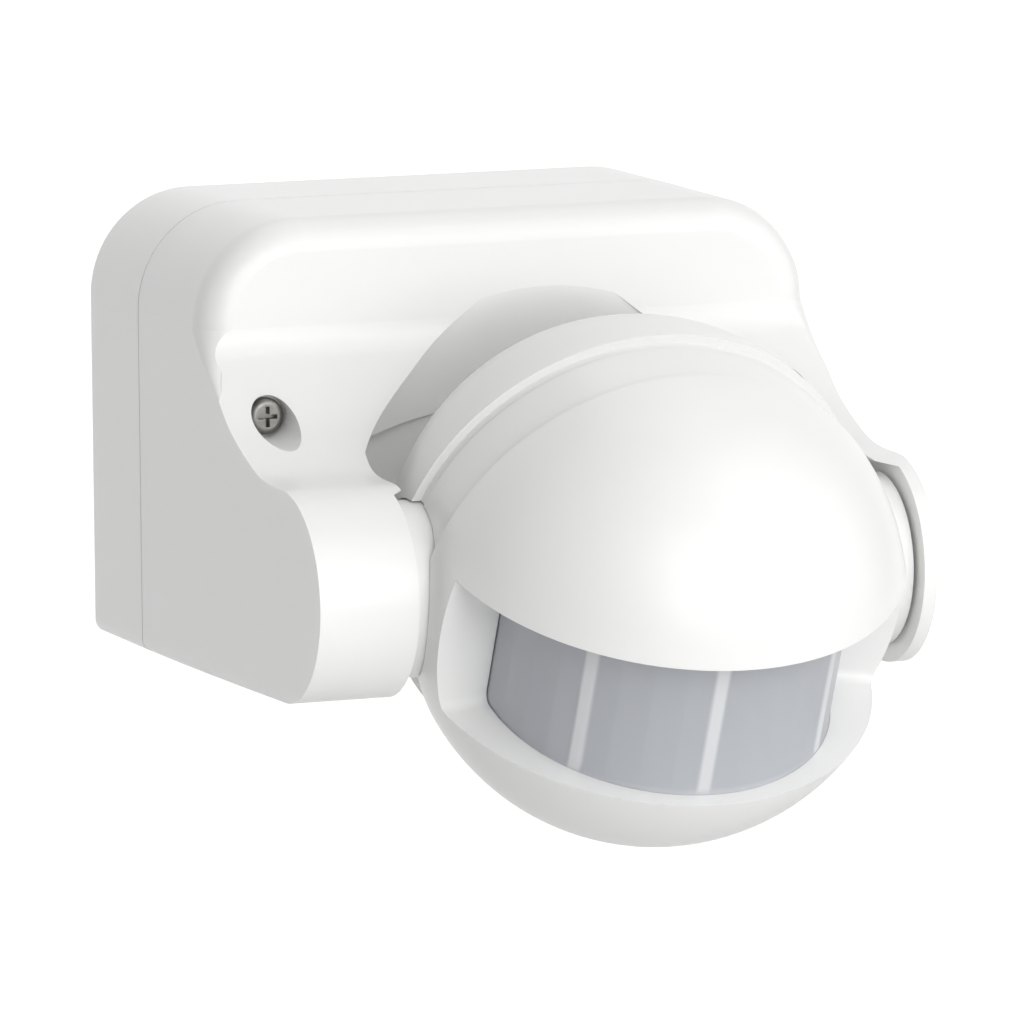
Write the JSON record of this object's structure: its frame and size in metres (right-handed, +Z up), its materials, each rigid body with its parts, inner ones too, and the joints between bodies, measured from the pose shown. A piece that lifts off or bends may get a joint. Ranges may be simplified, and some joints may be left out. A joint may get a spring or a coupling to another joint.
{
  "type": "motion sensor",
  "caption": "Wall-mounted infrared motion sensor: a rounded box with two forward arms that hold a tilting ball-shaped head with a wide curved lens window and setting knobs.",
  "frame": {"origin": "centre of the base's back face, which rests on the wall", "axes": "+Y goes into the wall, -Y out towards the room, +Z up, +X to the right as seen from the room"},
  "size_m": [0.092, 0.1216, 0.0845],
  "materials": {
    "white_shell": "satin",
    "hub_plastic": "satin",
    "lens_plastic": "satin translucent",
    "inner_plastic": "matt",
    "knob_plastic": "matt",
    "rubber": "matt",
    "zinc_steel": "zinc plated",
    "spring_steel": "dull",
    "circuit_board": "solder resist",
    "relay_case": "satin",
    "capacitor_case": "satin",
    "can_sleeve": "satin",
    "disc_coating": "satin",
    "terminal_plastic": "matt",
    "contact_brass": "plated",
    "socket_plastic": "matt",
    "adjuster_plastic": "matt",
    "sensor_can": "nickel plated",
    "filter_window": "gloss",
    "cell_resin": "gloss",
    "lamp_resin": "gloss",
    "sleeve_plastic": "matt"
  },
  "bodies": {
    "housing": {"base_plate": "white_shell", "cable_grommet": "rubber", "rim_seal": "rubber", "front_cover": "white_shell", "cover_screws": "zinc_steel", "power_board": "circuit_board", "board_screws": "zinc_steel", "relay": "relay_case", "film_capacitor": "capacitor_case", "smoothing_capacitor": "can_sleeve", "surge_disc": "disc_coating", "terminal_block": "terminal_plastic", "terminal_contacts": "contact_brass", "terminal_screws": "zinc_steel", "wire_header": "socket_plastic", "left_hub_washer": "rubber", "right_hub_washer": "rubber", "harness_base": "sleeve_plastic"},
    "head": {"head_rear_shell": "white_shell", "head_front_shell": "white_shell", "head_screws": "zinc_steel", "left_hub": "hub_plastic", "right_hub": "hub_plastic", "hub_snap_ring": "spring_steel", "lens": "lens_plastic", "lens_retainer": "inner_plastic", "sensor_board": "circuit_board", "sensor_board_screws": "zinc_steel", "pir_sensor": "sensor_can", "pir_filter": "filter_window", "light_cell": "cell_resin", "status_lamp": "lamp_resin", "sensor_socket": "socket_plastic", "control_board": "circuit_board", "control_board_screws": "zinc_steel", "adjusters": "adjuster_plastic", "harness_head": "sleeve_plastic"},
    "time_knob": {"time_knob": "knob_plastic"},
    "light_knob": {"light_knob": "knob_plastic"},
    "range_knob": {"range_knob": "knob_plastic"}
  },
  "joints": [
    {"name": "head_tilt", "type": "hinge", "parent": "housing", "child": "head", "pos_m": [0.0056, -0.0783, -0.016], "axis": [1, 0, 0], "range_deg": [-44, 36]},
    {"name": "time_knob_turn", "type": "hinge", "parent": "head", "child": "time_knob", "pos_m": [-0.0054, -0.07427, -0.04595], "axis": [0, 0.4067, -0.9135], "range_deg": [-135, 135]},
    {"name": "light_knob_turn", "type": "hinge", "parent": "head", "child": "light_knob", "pos_m": [0.0056, -0.07427, -0.04595], "axis": [0, 0.4067, -0.9135], "range_deg": [-135, 135]},
    {"name": "range_knob_turn", "type": "hinge", "parent": "head", "child": "range_knob", "pos_m": [0.0166, -0.07427, -0.04595], "axis": [0, 0.4067, -0.9135], "range_deg": [-135, 135]}
  ]
}
